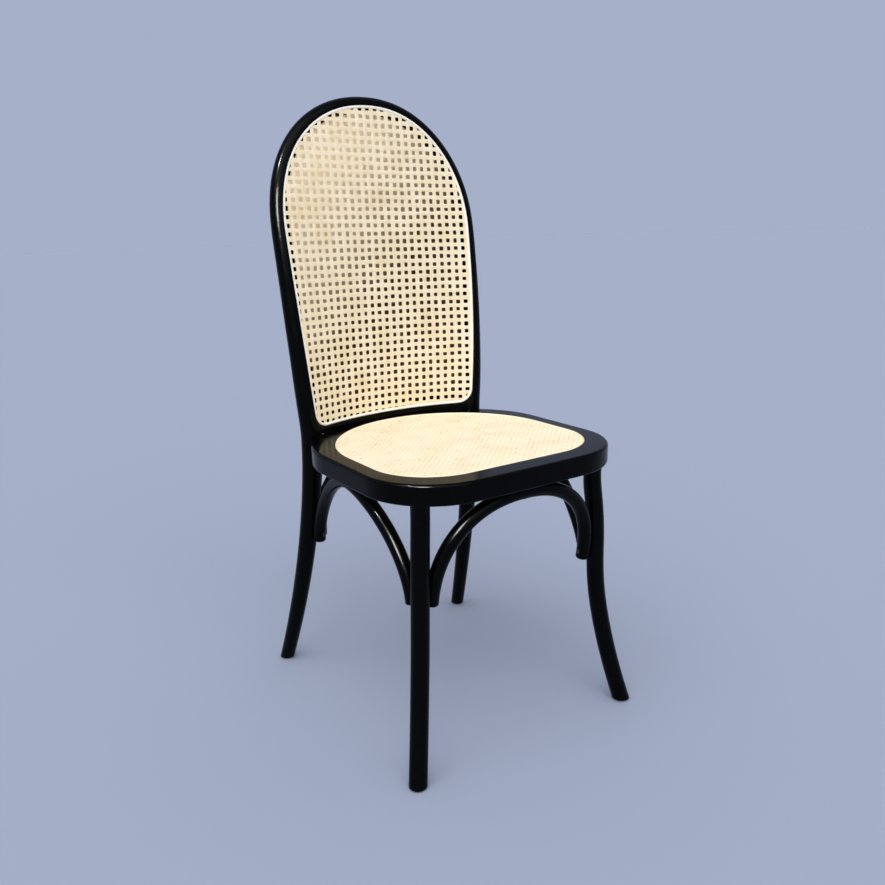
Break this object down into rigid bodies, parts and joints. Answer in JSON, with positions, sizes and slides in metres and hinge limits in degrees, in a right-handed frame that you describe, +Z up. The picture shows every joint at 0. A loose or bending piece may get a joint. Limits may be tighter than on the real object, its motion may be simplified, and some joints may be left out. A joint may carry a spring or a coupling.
{
  "type": "dining chair",
  "caption": "Bentwood dining chair with a tall arched back caned on both faces, a round-cornered caned seat, flared round legs and bent arch braces between them.",
  "frame": {"origin": "on the floor, under the middle of the bounding box", "axes": "+Z up, the chair faces -Y, +X to the right as seen from the front"},
  "size_m": [0.4452, 0.5142, 1.0012],
  "materials": {
    "lacquered_wood": "black satin lacquer",
    "cane": "woven natural cane",
    "spline_reed": "pale pressed reed",
    "plain_wood": "unfinished beech",
    "screw_steel": "blackened steel",
    "insert_brass": "turned brass",
    "glide_plastic": "black moulded plastic"
  },
  "bodies": {
    "root": {"back_hoop": "lacquered_wood", "back_bottom_rail": "lacquered_wood", "back_cane_front": "cane", "back_spline_front": "spline_reed", "back_cane_rear": "cane", "back_spline_rear": "spline_reed", "seat_frame": "lacquered_wood", "seat_cane": "cane", "seat_spline": "spline_reed", "front_leg_left": "lacquered_wood", "front_leg_right": "lacquered_wood", "brace_front": "lacquered_wood", "brace_rear": "lacquered_wood", "brace_left": "lacquered_wood", "brace_right": "lacquered_wood", "leg_wedges": "plain_wood", "rail_dowels": "plain_wood", "brace_leg_screws": "screw_steel", "brace_seat_screws": "screw_steel", "post_bolts": "screw_steel", "post_washers": "screw_steel", "post_inserts": "insert_brass", "glide_front_left": "glide_plastic", "glide_front_right": "glide_plastic", "glide_rear_left": "glide_plastic", "glide_rear_right": "glide_plastic", "glide_nails": "screw_steel"}
  },
  "joints": []
}
